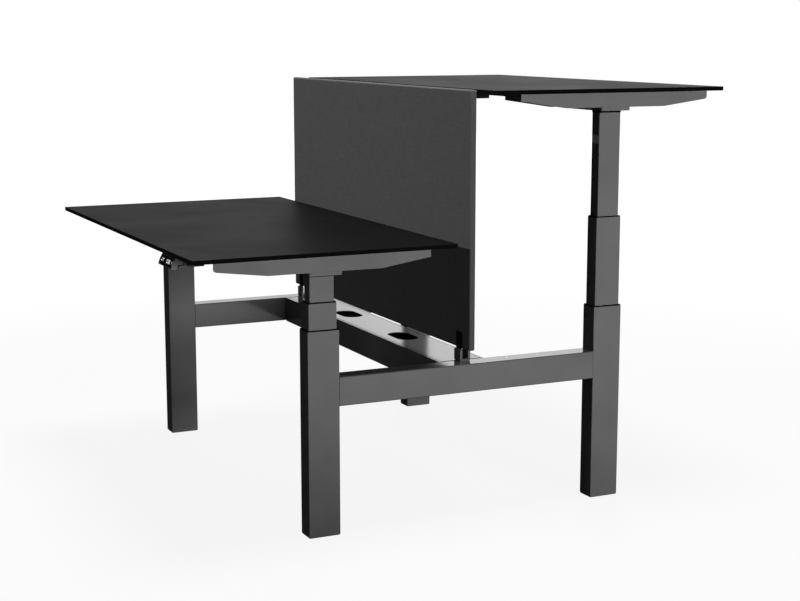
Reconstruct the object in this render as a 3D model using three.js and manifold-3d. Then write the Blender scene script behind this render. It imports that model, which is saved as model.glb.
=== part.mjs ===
// Sit-stand bench for two people who work face to face, each at a worktop of their own.
// Millimetres, +Z up. The origin is on the floor under the middle of the bench.
// X runs along the worktops. The front desk's user sits at -Y and the back desk's user at +Y.
import * as THREE from 'three';
import { mergeVertices } from 'three/addons/utils/BufferGeometryUtils.js';
import Module from 'manifold-3d';

const wasm = await Module();
wasm.setup();

// Clearances
const FIT = 0.3; // between pieces that are fastened to each other
const SLIDE = 0.3; // all round a tube that slides in its bush
const SPINDLE_PLAY = 0.5; // all round a spindle part in the next one
const PIVOT_PLAY = 0.3; // all round the handset's pivot pin

// Worktops
const TOP_LENGTH = 1400;
const TOP_DEPTH = 781;
const TOP_THICKNESS = 12;
const TOP_CORNER = 2;
const TOP_EDGE_EASE = 1;
const TOP_GAP = 118; // between the two worktops, over the screen
const FRONT_TOP_HEIGHT = 811;
const BACK_TOP_HEIGHT = 1237;

// Side brackets, pressed channels under the ends of the worktops
const BRACKET_SIDE_INSET = 3; // worktop end to the bracket's outer face
const BRACKET_USER_REACH = 320.5; // column axis to the bracket's end at the user
const BRACKET_SCREEN_REACH = 319;
const BRACKET_WIDTH = 94;
const BRACKET_DEPTH = 42; // at the flat belly over the column
const BRACKET_USER_DEPTH = 22.7;
const BRACKET_SCREEN_DEPTH = 19.5;
const BRACKET_BELLY = 336; // length of the flat belly
const BRACKET_SHEET = 3;
const BRACKET_USER_FILLET = 9;
const BRACKET_SCREEN_FILLET = 2;
const BRACKET_TONGUE = 44; // at the user's end, where the outer web goes on alone
const BRACKET_BELLY_FILLET = 40;
const BRACKET_NOTCH_ROOF = 8; // sheet left over the motor's way through the inner web

// Lifting columns, three nested tubes sized outwards from the slimmest
const COLUMN_TO_FACE = 52; // column axis to the bracket's outer face
const COLUMN_SETBACK = 401.5; // worktop's screen edge to the column axis
const INNER_TUBE_X = 41.5;
const INNER_TUBE_Y = 72.5;
const TUBE_WALL = 2.5;
const TUBE_CORNER = 2.5;
const STAGE_GAP_X = 2.5; // between two stages, filled by a slide bush
const STAGE_GAP_Y = 3;
const OUTER_TOP = 592; // floor to the lip of the outer tube's bush
const MID_LENGTH = 560;
const INNER_LENGTH = 545;
const FRONT_MID_SHARE = 0.498705; // middle stage's share of what shows between the outer tube's lip and the pan
const BACK_MID_SHARE = 0.461751;
const BUSH_DEPTH = 70;
const BUSH_LIP = 3;
const BUSH_LIP_INSET = 0.8; // the lip is slimmer than the tube that it closes

// Feet, which carry the push tube of the spindle
const FOOT_PAD = 2;
const FOOT_PAD_INSET = 1.5;
const FOOT_THICKNESS = 12;
const PUSH_TUBE_TOP = 555;
const PUSH_TUBE_WALL = 2.5;
const NUT_WALL = 4;
const NUT_HEIGHT = 25;

// Telescopic spindles, sized outwards from the drive screw
const SCREW_RADIUS = 8;
const SCREW_LENGTH = 500;
const SCREW_TIP = 3;
const HOLLOW_SPINDLE_WALL = 3.5;
const HOLLOW_SPINDLE_LENGTH = 520;
const HOLLOW_SPINDLE_BELOW_MID = 15; // reach below the middle tube's lower end

// Column heads: a pan on the inner tube, a gear motor in it and a beam between two pans
const PAN_INBOARD = 150; // column axis to the pan's open end
const PAN_WIDTH = 98;
const PAN_LIP = 10;
const PAN_SHEET = 3;
const PAN_CORNER = 6;
const GEAR_CASE_GAP = 3; // to the bracket's webs and top
const GEAR_CASE_WIDTH = 72;
const GEAR_CASE_CORNER = 12;
const MOTOR_RADIUS = 17;
const MOTOR_END_RADIUS = 11;
const MOTOR_END = 4;
const MOTOR_LIFT = 1; // under the motor can
const DRIVE_BOSS_RADIUS = 10;
const BEAM_DEPTH = 32; // between the pans
const BEAM_LAP = 40; // of the beam's end that lies in the pan
const BEAM_MOTOR_GAP = 4;
const BEAM_SHEET = 2.5;
const BEAM_CORNER = 4;

// Control boxes
const CONTROL_LENGTH = 300;
const CONTROL_WIDTH = 110;
const CONTROL_HEIGHT = 35;
const CONTROL_CORNER = 8;
const CONTROL_FROM_BEAM = 75;
const CONTROL_PORTS = 4;
const CONTROL_PORT_PITCH = 44;
const CONTROL_PORT_WIDTH = 16;
const CONTROL_PORT_HEIGHT = 12;
const CONTROL_PORT_DEPTH = 9;

// Crossbars, which tie the front and back columns together
const CROSSBAR_TOP = 455;
const CROSSBAR_HEIGHT = 83;
const CROSSBAR_WALL = 3;

// Cable tray between the crossbars, and its lid
const TRAY_WIDTH = 146;
const TRAY_DEPTH = 87;
const TRAY_SHEET = 2;
const TRAY_FOLD = 5;
const TRAY_RIM = 8;
const TRAY_LEDGE = 10;
const LID_THICKNESS = 2.5;
const LID_SEAM = 1.5; // along the rims
const LID_END_SEAM = 6;
const OUTLET_LENGTH = 132;
const OUTLET_WIDTH = 71;
const OUTLET_FROM_MIDDLE = 214;

// Screen and the two clamps that stand it on the lid
const SCREEN_LENGTH = 1360;
const SCREEN_HEIGHT = 746;
const SCREEN_THICKNESS = 18.5;
const SCREEN_CORNER = 4;
const SCREEN_EDGE_ROUND = 3;
const SCREEN_BOTTOM = 493;
const CLAMP_WIDTH = 38;
const CLAMP_SHEET = 7;
const CLAMP_SHOULDER = 35; // height of the thick foot below the two tabs
const CLAMP_HEIGHT = 87;
const CLAMP_FOLD = 3;
const CLAMP_TAB_WIDTH = 33;
const CLAMP_TAB_SHEET = 2;
const CLAMP_PAST_TRAY_END = 4; // so that it stands half on the lid and half on the crossbar

// Handsets under the user edges, a tilting paddle on a fixed mount
const HANDSET_WIDTH = 120;
const HANDSET_FROM_TOP_END = 248; // to the handset's middle, at the user's right hand
const HANDSET_SETBACK = 11; // worktop's user edge to the handset's datum
const MOUNT_HEIGHT = 33;
const MOUNT_BACK = 84; // behind the datum
const MOUNT_FILLET = 1;
const MOUNT_BLOCK_FRONT = 41;
const MOUNT_PLATE_FRONT = 12.5;
const MOUNT_PLATE = 5;
const LUG_BACK = 35;
const LUG_FRONT = 27.5;
const LUG_TOP = 8;
const LUG_THICKNESS = 4;
const PIVOT_BACK = 31.25;
const PIVOT_DROP = 15.5;
const PIVOT_RADIUS = 2;
const PADDLE_TOP = 6.5; // below the worktop
const PADDLE_BACK = 25;
const PADDLE_FACE_BACK = 2.5; // upper end of the face, behind the datum
const PADDLE_REACH = 10.5; // lower end of the face, in front of the datum
const PADDLE_DROP = 36;
const PADDLE_FACE_BULGE = 1.6;
const PADDLE_KEEL = 2; // under the lower end of the face
const PADDLE_KEEL_BACK = 5;
const PADDLE_STEP_BACK = 9.5;
const PADDLE_STEP_DROP = 32;
const PADDLE_PLATE_GAP = 2; // above the mount's plate
const PADDLE_ARM_WIDTH = 10;
const PADDLE_ARM_HEIGHT = 9;
const PANEL_THICKNESS = 1.2;
const PANEL_BORDER = 3; // of the paddle's face, all round the panel

// Facets
const FILLET_STEPS = 2;
const ROUND_STEPS = 24;

// Derived places
const topEnd = TOP_LENGTH / 2;
const screenEdge = TOP_GAP / 2;
const userEdge = screenEdge + TOP_DEPTH;
const columnX = topEnd - BRACKET_SIDE_INSET - COLUMN_TO_FACE;
const columnY = screenEdge + COLUMN_SETBACK;
const innerTube = { x: INNER_TUBE_X, y: INNER_TUBE_Y };
const midTube = stageAround(innerTube);
const outerTube = stageAround(midTube);
const tubeTop = OUTER_TOP - BUSH_LIP - FIT;
const headDrop = FIT + BRACKET_DEPTH + FIT + PAN_LIP; // worktop's underside to the pan's underside
const hollowSpindleRadius = SCREW_RADIUS + SPINDLE_PLAY + HOLLOW_SPINDLE_WALL;
const pushTubeBore = hollowSpindleRadius + SPINDLE_PLAY;
const trayEnd = columnX - outerTube.x / 2 - FIT;
const panInnerWidth = PAN_WIDTH - 2 * PAN_SHEET;
const beamEnd = columnX - PAN_INBOARD + BEAM_LAP;
const beamWidth = panInnerWidth - 2 * FIT;
const panelWidth = HANDSET_WIDTH - 2 * PANEL_BORDER;

function stageAround(tube) {
  return {
    x: tube.x + 2 * (STAGE_GAP_X + TUBE_WALL),
    y: tube.y + 2 * (STAGE_GAP_Y + TUBE_WALL),
  };
}

// Solids and geometry

function solid(geometry) {
  const bare = geometry.clone();
  bare.deleteAttribute('normal');
  bare.deleteAttribute('uv');
  const merged = mergeVertices(bare);
  return new wasm.Manifold(new wasm.Mesh({
    numProp: 3,
    vertProperties: new Float32Array(merged.attributes.position.array),
    triVerts: new Uint32Array(merged.index.array),
  }));
}

function geometryOf(body) {
  const { vertProperties, triVerts } = body.getMesh();
  const geometry = new THREE.BufferGeometry();
  geometry.setAttribute('position', new THREE.BufferAttribute(vertProperties, 3));
  geometry.setIndex(new THREE.BufferAttribute(triVerts, 1));
  geometry.computeVertexNormals();
  return geometry;
}

function join(first, ...others) {
  return geometryOf(others.reduce((body, other) => body.add(solid(other)), solid(first)));
}

function cut(first, ...others) {
  return geometryOf(others.reduce((body, other) => body.subtract(solid(other)), solid(first)));
}

// Outlines

// Closed outline through points given as [x, y, fillet radius], in counter-clockwise order.
// It starts at a filleted corner, where there is one, so that each arc joins the line before it.
function outline(points) {
  const start = Math.max(points.findIndex(([, , radius]) => radius > 0), 0);
  const ordered = [...points.slice(start), ...points.slice(0, start)];
  const shape = new THREE.Shape();
  ordered.forEach(([x, y, radius = 0], index) => {
    const before = ordered.at(index - 1);
    const after = ordered[(index + 1) % ordered.length];
    if (radius > 0) {
      filletCorner(shape, new THREE.Vector2(x, y), before, after, radius);
    } else if (index === 0) {
      shape.moveTo(x, y);
    } else {
      shape.lineTo(x, y);
    }
  });
  return shape;
}

function filletCorner(shape, corner, before, after, radius) {
  const back = new THREE.Vector2(before[0], before[1]).sub(corner).normalize();
  const ahead = new THREE.Vector2(after[0], after[1]).sub(corner).normalize();
  const halfAngle = Math.acos(back.dot(ahead)) / 2;
  const reach = radius / Math.tan(halfAngle);
  const middle = back.clone().add(ahead).setLength(radius / Math.sin(halfAngle)).add(corner);
  const start = back.clone().multiplyScalar(reach).add(corner).sub(middle);
  const end = ahead.clone().multiplyScalar(reach).add(corner).sub(middle);
  const turnsRight = ahead.cross(back) < 0;
  shape.absarc(middle.x, middle.y, radius, start.angle(), end.angle(), turnsRight);
}

function rectangle(width, height, radius = 0) {
  const x = width / 2;
  const y = height / 2;
  return outline([[-x, -y, radius], [x, -y, radius], [x, y, radius], [-x, y, radius]]);
}

function corners(xFrom, xTo, yFrom, yTo) {
  return [[xFrom, yFrom], [xTo, yFrom], [xTo, yTo], [xFrom, yTo]];
}

function spanRectangle(xFrom, xTo, yFrom, yTo) {
  return outline(corners(xFrom, xTo, yFrom, yTo));
}

// Rectangular ring, with the corners of its opening rounded less than its own.
function frameOutline(outer, inner) {
  const shape = rectangle(outer.x, outer.y, TUBE_CORNER);
  const wall = Math.min(outer.x - inner.x, outer.y - inner.y) / 2;
  const innerCorner = Math.max(TUBE_CORNER - wall, TUBE_CORNER / 4);
  shape.holes.push(rectangle(inner.x, inner.y, innerCorner));
  return shape;
}

// Solids from outlines

function upward(shape, height, bottom = 0, steps = FILLET_STEPS) {
  const settings = { depth: height, bevelEnabled: false, curveSegments: steps };
  return new THREE.ExtrudeGeometry(shape, settings).translate(0, 0, bottom);
}

// A slab whose long edges are eased all round, from z = 0 up.
function easedSlab(shape, height, ease) {
  const settings = {
    depth: height - 2 * ease,
    bevelThickness: ease,
    bevelSize: ease,
    bevelOffset: -ease,
    bevelSegments: FILLET_STEPS,
    curveSegments: FILLET_STEPS,
  };
  return new THREE.ExtrudeGeometry(shape, settings).translate(0, 0, ease);
}

const axisX = new THREE.Vector3(1, 0, 0);
const axisY = new THREE.Vector3(0, 1, 0);
const axisZ = new THREE.Vector3(0, 0, 1);

// A solid made upwards, turned so that its outline is drawn with Y across and Z up, and centred on X.
function alongX(geometry, length) {
  const turn = new THREE.Matrix4().makeBasis(axisY, axisZ, axisX);
  return geometry.translate(0, 0, -length / 2).applyMatrix4(turn);
}

// A solid made upwards, turned so that its outline is drawn with X across and Z up, and centred on Y.
function alongY(geometry, length) {
  const turn = new THREE.Matrix4().makeBasis(axisX, axisZ, axisY.clone().negate());
  return geometry.translate(0, 0, -length / 2).applyMatrix4(turn);
}

// A solid of revolution about Z, from a closed outline of [radius, z] points.
function revolve(points) {
  const profile = points.map(([radius, z]) => new THREE.Vector2(radius, z));
  return new THREE.LatheGeometry(profile, ROUND_STEPS).rotateX(Math.PI / 2);
}

function rod(radius, height, bottom = 0) {
  const top = bottom + height;
  return revolve([[0, bottom], [radius, bottom], [radius, top], [0, top]]);
}

function sleeve(bore, radius, height, bottom = 0) {
  const top = bottom + height;
  return revolve([[bore, bottom], [radius, bottom], [radius, top], [bore, top], [bore, bottom]]);
}

// Worktop and side bracket

function worktop() {
  return easedSlab(rectangle(TOP_LENGTH, TOP_DEPTH, TOP_CORNER), TOP_THICKNESS, TOP_EDGE_EASE);
}

// Pressed channel, open below, from z = 0 down. Its ends taper up from the belly, and at the user's end
// the outer web goes on alone. The column axis is at x = 0, y = 0 and the outer face is at +X.
// The user's end is at +Y where userSide is 1 and at -Y where it is -1.
function sideBracket(userSide) {
  const belly = BRACKET_BELLY / 2;
  const below = -BRACKET_DEPTH - BRACKET_SHEET;
  const flangeEnd = BRACKET_USER_REACH - BRACKET_TONGUE;
  const side = [
    [-BRACKET_SCREEN_REACH, 0],
    [-BRACKET_SCREEN_REACH, -BRACKET_SCREEN_DEPTH, BRACKET_SCREEN_FILLET],
    [-belly, -BRACKET_DEPTH, BRACKET_BELLY_FILLET],
    [belly, -BRACKET_DEPTH, BRACKET_BELLY_FILLET],
    [BRACKET_USER_REACH, -BRACKET_USER_DEPTH, BRACKET_USER_FILLET],
    [BRACKET_USER_REACH, 0],
  ];
  const channelFrom = -BRACKET_SCREEN_REACH + BRACKET_SHEET;
  const channel = corners(channelFrom, flangeEnd - BRACKET_SHEET, below, -BRACKET_SHEET);
  const relief = corners(flangeEnd, BRACKET_USER_REACH + BRACKET_SHEET, below, BRACKET_SHEET);
  const notch = corners(-panInnerWidth / 2, panInnerWidth / 2, below, -BRACKET_NOTCH_ROOF);
  const channelWidth = BRACKET_WIDTH - 2 * BRACKET_SHEET;
  const notchWidth = 4 * BRACKET_SHEET;
  const middle = COLUMN_TO_FACE - BRACKET_WIDTH / 2;
  const innerWeb = COLUMN_TO_FACE - BRACKET_WIDTH;
  const across = (points, width, x) => {
    const facing = userSide > 0 ? points : points.map(([y, z, radius]) => [-y, z, radius]).reverse();
    return alongX(upward(outline(facing), width), width).translate(x, 0, 0);
  };
  return cut(
    across(side, BRACKET_WIDTH, middle),
    across(channel, channelWidth, middle),
    across(relief, BRACKET_WIDTH, middle - BRACKET_SHEET),
    across(notch, notchWidth, innerWeb),
  );
}

// Column stages

function tube(size, length) {
  const inside = { x: size.x - 2 * TUBE_WALL, y: size.y - 2 * TUBE_WALL };
  return upward(frameOutline(size, inside), length);
}

// Slide bush in the mouth of a tube, whose end is at z = 0, with a lip over the tube's wall.
function slideBush(mouth, runner) {
  const bore = { x: runner.x + 2 * SLIDE, y: runner.y + 2 * SLIDE };
  const socket = {
    x: mouth.x - 2 * (TUBE_WALL + FIT),
    y: mouth.y - 2 * (TUBE_WALL + FIT),
  };
  const lip = { x: mouth.x - 2 * BUSH_LIP_INSET, y: mouth.y - 2 * BUSH_LIP_INSET };
  return join(
    upward(frameOutline(socket, bore), BUSH_DEPTH + FIT + BUSH_LIP, -BUSH_DEPTH),
    upward(frameOutline(lip, bore), BUSH_LIP, FIT),
  );
}

// Foot in the lower end of the outer tube. Its push tube ends in the nut of the hollow spindle.
function foot() {
  const plug = rectangle(
    outerTube.x - 2 * (TUBE_WALL + FIT),
    outerTube.y - 2 * (TUBE_WALL + FIT),
    TUBE_CORNER / 2,
  );
  const pad = rectangle(
    outerTube.x - 2 * FOOT_PAD_INSET,
    outerTube.y - 2 * FOOT_PAD_INSET,
    TUBE_CORNER,
  );
  const pushTubeRadius = pushTubeBore + PUSH_TUBE_WALL;
  const pushTubeFoot = FOOT_THICKNESS / 2;
  return join(
    upward(pad, FOOT_PAD),
    upward(plug, FOOT_THICKNESS),
    sleeve(pushTubeBore, pushTubeRadius, PUSH_TUBE_TOP - pushTubeFoot, pushTubeFoot),
    sleeve(pushTubeBore, pushTubeBore + NUT_WALL, NUT_HEIGHT, PUSH_TUBE_TOP - NUT_HEIGHT),
  );
}

function hollowSpindle() {
  return sleeve(SCREW_RADIUS + SPINDLE_PLAY, hollowSpindleRadius, HOLLOW_SPINDLE_LENGTH);
}

// Drive screw that hangs from z = 0, with a pointed lead-in at its lower end.
function driveScrew() {
  return revolve([
    [0, -SCREW_LENGTH],
    [SCREW_RADIUS - SCREW_TIP, -SCREW_LENGTH],
    [SCREW_RADIUS, -SCREW_LENGTH + SCREW_TIP],
    [SCREW_RADIUS, 0],
    [0, 0],
  ]);
}

// Inner tube welded under its head pan, whose underside is at z = 0. The pan is open inboard, at -X.
function innerColumn() {
  const across = PAN_WIDTH / 2;
  const inside = panInnerWidth / 2;
  const insideFace = COLUMN_TO_FACE - PAN_SHEET;
  const plan = outline([
    [-PAN_INBOARD, -across],
    [COLUMN_TO_FACE, -across, PAN_CORNER],
    [COLUMN_TO_FACE, across, PAN_CORNER],
    [-PAN_INBOARD, across],
  ]);
  const hollow = outline([
    [-PAN_INBOARD - PAN_SHEET, -inside],
    [insideFace, -inside, PAN_CORNER / 2],
    [insideFace, inside, PAN_CORNER / 2],
    [-PAN_INBOARD - PAN_SHEET, inside],
  ]);
  const pan = cut(
    upward(plan, PAN_LIP),
    upward(hollow, PAN_LIP, PAN_SHEET),
    rod(DRIVE_BOSS_RADIUS + FIT, 4 * PAN_SHEET, -PAN_SHEET),
  );
  const weld = PAN_SHEET / 2;
  return join(pan, tube(innerTube, INNER_LENGTH + weld).translate(0, 0, -INNER_LENGTH));
}

// Gear motor that stands on z = 0, the pan's floor. Its boss reaches down through the pan.
function gearMotor() {
  const innerWeb = COLUMN_TO_FACE - BRACKET_WIDTH;
  const from = innerWeb + BRACKET_SHEET + GEAR_CASE_GAP;
  const to = COLUMN_TO_FACE - BRACKET_SHEET - GEAR_CASE_GAP;
  const across = GEAR_CASE_WIDTH / 2;
  const bracketRoof = PAN_LIP - PAN_SHEET + BRACKET_DEPTH - BRACKET_SHEET;
  const motorLength = PAN_INBOARD - BEAM_LAP - BEAM_MOTOR_GAP - MOTOR_END;
  const plan = outline([
    [from, -across, GEAR_CASE_CORNER],
    [to, -across, GEAR_CASE_CORNER],
    [to, across, GEAR_CASE_CORNER],
    [from, across, GEAR_CASE_CORNER],
  ]);
  const can = join(
    rod(MOTOR_RADIUS, motorLength),
    rod(MOTOR_END_RADIUS, motorLength + MOTOR_END),
  );
  return join(
    upward(plan, bracketRoof - GEAR_CASE_GAP),
    can.rotateY(-Math.PI / 2).translate(0, 0, MOTOR_RADIUS + MOTOR_LIFT),
    rod(DRIVE_BOSS_RADIUS, 2 * PAN_SHEET + FIT, -PAN_SHEET - FIT),
  );
}

// Beam between two column heads, an upturned channel from z = 0 down.
// Its flanges reach the pans' floors at its ends and are cut back between the pans.
function headBeam() {
  const across = beamWidth / 2;
  const depth = headDrop - PAN_SHEET - 2 * FIT;
  const inside = across - BEAM_SHEET;
  const section = outline([
    [-across, -depth],
    [-inside, -depth],
    [-inside, -BEAM_SHEET],
    [inside, -BEAM_SHEET],
    [inside, -depth],
    [across, -depth],
    [across, 0, BEAM_CORNER],
    [-across, 0, BEAM_CORNER],
  ]);
  const relief = spanRectangle(-PAN_WIDTH, PAN_WIDTH, -2 * depth, -BEAM_DEPTH);
  const reliefLength = 2 * (beamEnd - BEAM_LAP);
  return cut(
    alongX(upward(section, 2 * beamEnd), 2 * beamEnd),
    alongX(upward(relief, reliefLength), reliefLength),
  );
}

// Control box that hangs from z = 0, with a row of cable sockets on its +Y side.
function controlBox() {
  const box = upward(
    rectangle(CONTROL_LENGTH, CONTROL_WIDTH, CONTROL_CORNER),
    CONTROL_HEIGHT,
    -CONTROL_HEIGHT,
  );
  const sockets = Array.from({ length: CONTROL_PORTS }, (_, index) => {
    const x = (index - (CONTROL_PORTS - 1) / 2) * CONTROL_PORT_PITCH;
    const socket = new THREE.BoxGeometry(
      CONTROL_PORT_WIDTH,
      2 * CONTROL_PORT_DEPTH,
      CONTROL_PORT_HEIGHT,
    );
    return socket.translate(x, CONTROL_WIDTH / 2, -CONTROL_HEIGHT / 2);
  });
  return cut(box, ...sockets);
}

// Crossbar, tray and lid, each with its top face at z = 0

function crossbar() {
  const outer = { x: outerTube.x, y: CROSSBAR_HEIGHT };
  const inner = { x: outer.x - 2 * CROSSBAR_WALL, y: outer.y - 2 * CROSSBAR_WALL };
  const length = 2 * (columnY - outerTube.y / 2 - FIT);
  const bar = alongY(upward(frameOutline(outer, inner), length), length);
  return bar.translate(0, 0, -CROSSBAR_HEIGHT / 2);
}

// Folded trough with stepped rims that the lid lies in, and a plate at each end.
function cableTray() {
  const across = TRAY_WIDTH / 2;
  const rim = across - TRAY_RIM;
  const ledge = rim - TRAY_LEDGE;
  const step = LID_THICKNESS + FIT;
  const half = [
    [across, -TRAY_DEPTH, TRAY_FOLD],
    [across, 0],
    [rim, 0],
    [rim, -step],
    [ledge, -step],
    [ledge, -step - TRAY_SHEET],
    [rim + TRAY_SHEET, -step - TRAY_SHEET],
    [rim + TRAY_SHEET, -TRAY_SHEET],
    [across - TRAY_SHEET, -TRAY_SHEET],
    [across - TRAY_SHEET, -TRAY_DEPTH + TRAY_SHEET, TRAY_FOLD - TRAY_SHEET],
  ];
  const mirrored = half.map(([y, z, radius]) => [-y, z, radius]).reverse();
  const trough = alongX(upward(outline([...half, ...mirrored]), 2 * trayEnd), 2 * trayEnd);
  const endPlate = outline([
    [-across, -TRAY_DEPTH, TRAY_FOLD],
    [across, -TRAY_DEPTH, TRAY_FOLD],
    [across, -step - TRAY_SHEET / 2],
    [-across, -step - TRAY_SHEET / 2],
  ]);
  const plates = [-1, 1].map((end) => {
    const plate = alongX(upward(endPlate, TRAY_SHEET), TRAY_SHEET);
    return plate.translate(end * (trayEnd - TRAY_SHEET / 2), 0, 0);
  });
  return join(trough, ...plates);
}

function trayLid() {
  const length = 2 * (trayEnd - LID_END_SEAM);
  const width = TRAY_WIDTH - 2 * (TRAY_RIM + LID_SEAM);
  const plan = rectangle(length, width);
  const straight = (OUTLET_LENGTH - OUTLET_WIDTH) / 2;
  [-1, 1].forEach((end) => {
    const middle = end * OUTLET_FROM_MIDDLE;
    const outlet = new THREE.Path();
    outlet.absarc(middle + straight, 0, OUTLET_WIDTH / 2, -Math.PI / 2, Math.PI / 2, false);
    outlet.absarc(middle - straight, 0, OUTLET_WIDTH / 2, Math.PI / 2, 1.5 * Math.PI, false);
    plan.holes.push(outlet);
  });
  return upward(plan, LID_THICKNESS, -LID_THICKNESS, ROUND_STEPS / 4);
}

// Screen and its clamps, each from z = 0 up

function screenPanel() {
  const face = rectangle(SCREEN_LENGTH, SCREEN_HEIGHT, SCREEN_CORNER);
  const panel = alongY(easedSlab(face, SCREEN_THICKNESS, SCREEN_EDGE_ROUND), SCREEN_THICKNESS);
  return panel.translate(0, 0, SCREEN_HEIGHT / 2);
}

// A thick U-shaped foot, whose two tabs hold the screen's faces.
function screenClamp() {
  const inside = SCREEN_THICKNESS / 2 + FIT;
  const outside = inside + CLAMP_SHEET;
  const tabFace = inside + CLAMP_TAB_SHEET;
  const section = outline([
    [-outside, 0, CLAMP_FOLD],
    [outside, 0, CLAMP_FOLD],
    [outside, CLAMP_SHOULDER],
    [inside, CLAMP_SHOULDER],
    [inside, CLAMP_SHEET],
    [-inside, CLAMP_SHEET],
    [-inside, CLAMP_SHOULDER],
    [-outside, CLAMP_SHOULDER],
  ]);
  const tabs = [
    spanRectangle(-tabFace, -inside, CLAMP_SHEET, CLAMP_HEIGHT),
    spanRectangle(inside, tabFace, CLAMP_SHEET, CLAMP_HEIGHT),
  ];
  return join(
    alongX(upward(section, CLAMP_WIDTH), CLAMP_WIDTH),
    ...tabs.map((tab) => alongX(upward(tab, CLAMP_TAB_WIDTH), CLAMP_TAB_WIDTH)),
  );
}

// Handset pieces: z = 0 is the worktop's underside, y = 0 the datum and +Y points at the user

function crossRod(radius, length) {
  const pin = rod(radius, length, -length / 2).rotateY(Math.PI / 2);
  return pin.translate(0, -PIVOT_BACK, -PIVOT_DROP);
}

// Fixed mount: a block, a plate that runs forward under the paddle and two lugs with pivot holes.
function handsetMount() {
  const plateTop = -MOUNT_HEIGHT + MOUNT_PLATE;
  const side = outline([
    [-MOUNT_BACK, -MOUNT_HEIGHT, MOUNT_FILLET],
    [-MOUNT_PLATE_FRONT, -MOUNT_HEIGHT],
    [-MOUNT_PLATE_FRONT, plateTop],
    [-MOUNT_BLOCK_FRONT, plateTop],
    [-MOUNT_BLOCK_FRONT, -FIT],
    [-MOUNT_BACK, -FIT],
  ]);
  const lug = spanRectangle(-LUG_BACK, -LUG_FRONT, plateTop - MOUNT_PLATE / 2, -LUG_TOP);
  const lugs = [-1, 1].map((end) => {
    const plate = alongX(upward(lug, LUG_THICKNESS), LUG_THICKNESS);
    return plate.translate((end * (HANDSET_WIDTH - LUG_THICKNESS)) / 2, 0, 0);
  });
  const mount = join(alongX(upward(side, HANDSET_WIDTH), HANDSET_WIDTH), ...lugs);
  return cut(mount, crossRod(PIVOT_RADIUS + PIVOT_PLAY, 2 * HANDSET_WIDTH));
}

// The face of the paddle is one arc from its upper end to its lower end.
function paddleFace() {
  const upper = new THREE.Vector2(-PADDLE_FACE_BACK, -PADDLE_TOP);
  const lower = new THREE.Vector2(PADDLE_REACH, -PADDLE_DROP);
  const chord = upper.clone().sub(lower);
  const radius = chord.lengthSq() / (8 * PADDLE_FACE_BULGE) + PADDLE_FACE_BULGE / 2;
  const inward = new THREE.Vector2(-chord.y, chord.x).normalize();
  const middle = upper.clone().add(lower).multiplyScalar(0.5);
  middle.addScaledVector(inward, radius - PADDLE_FACE_BULGE);
  const from = Math.atan2(lower.y - middle.y, lower.x - middle.x);
  const to = Math.atan2(upper.y - middle.y, upper.x - middle.x);
  return { middle, radius, from, to };
}

// Band along the face between two distances behind it, short of the face's ends by a border.
function faceBand(front, back, width, border) {
  const { middle, radius, from, to } = paddleFace();
  const margin = border / radius;
  const band = new THREE.Shape();
  band.absarc(middle.x, middle.y, radius - front, from + margin, to - margin, false);
  band.absarc(middle.x, middle.y, radius - back, to - margin, from + margin, true);
  return alongX(upward(band, width, 0, ROUND_STEPS / 4), width);
}

// Paddle that the user tips up or down, with two arms back to the pivot pin.
function handsetPaddle() {
  const { middle, radius, from, to } = paddleFace();
  const plateTop = -MOUNT_HEIGHT + MOUNT_PLATE;
  const side = new THREE.Shape();
  side.moveTo(-PADDLE_BACK, plateTop + PADDLE_PLATE_GAP);
  side.lineTo(-PADDLE_STEP_BACK, plateTop + PADDLE_PLATE_GAP);
  side.lineTo(-PADDLE_STEP_BACK, -PADDLE_STEP_DROP);
  side.lineTo(-PADDLE_KEEL_BACK, -PADDLE_DROP - PADDLE_KEEL);
  side.absarc(middle.x, middle.y, radius, from, to, false);
  side.lineTo(-PADDLE_BACK, -PADDLE_TOP);
  const body = alongX(upward(side, HANDSET_WIDTH, 0, ROUND_STEPS / 4), HANDSET_WIDTH);
  const recess = faceBand(
    -PANEL_THICKNESS,
    PANEL_THICKNESS + FIT,
    panelWidth + 2 * FIT,
    PANEL_BORDER - FIT,
  );
  const armLength = PIVOT_BACK + LUG_BACK - LUG_FRONT - PADDLE_BACK;
  const armFromEnd = LUG_THICKNESS + PIVOT_PLAY + PADDLE_ARM_WIDTH / 2;
  const arms = [-1, 1].map((end) => {
    const arm = new THREE.BoxGeometry(PADDLE_ARM_WIDTH, armLength, PADDLE_ARM_HEIGHT);
    const x = end * (HANDSET_WIDTH / 2 - armFromEnd);
    return arm.translate(x, -PADDLE_BACK - armLength / 2 + PIVOT_RADIUS, -PIVOT_DROP);
  });
  return join(cut(body, recess), ...arms, crossRod(PIVOT_RADIUS, HANDSET_WIDTH));
}

function handsetPanel() {
  return faceBand(0, PANEL_THICKNESS, panelWidth, PANEL_BORDER);
}

// Finishes

function finish(color, roughness, metalness) {
  return () => new THREE.MeshStandardMaterial({ color, roughness, metalness });
}

const laminate = finish('#232323', 0.5, 0);
const paintedSteel = finish('#3c3c3c', 0.45, 0.2);
const trayPaint = finish('#2b2b2b', 0.25, 0.2);
const zincSteel = finish('#9a9c9e', 0.35, 0.9);
const bushPlastic = finish('#141414', 0.6, 0);
const housingPlastic = finish('#202020', 0.55, 0);
const handsetPlastic = finish('#3a3a3a', 0.5, 0);
const glossPanel = finish('#050505', 0.08, 0);
const screenFabric = finish('#404040', 0.95, 0);

// Assembly

function add(group, name, geometry, material, x = 0, y = 0, z = 0) {
  const mesh = new THREE.Mesh(geometry, material());
  mesh.name = name;
  mesh.position.set(x, y, z);
  group.add(mesh);
}

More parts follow.
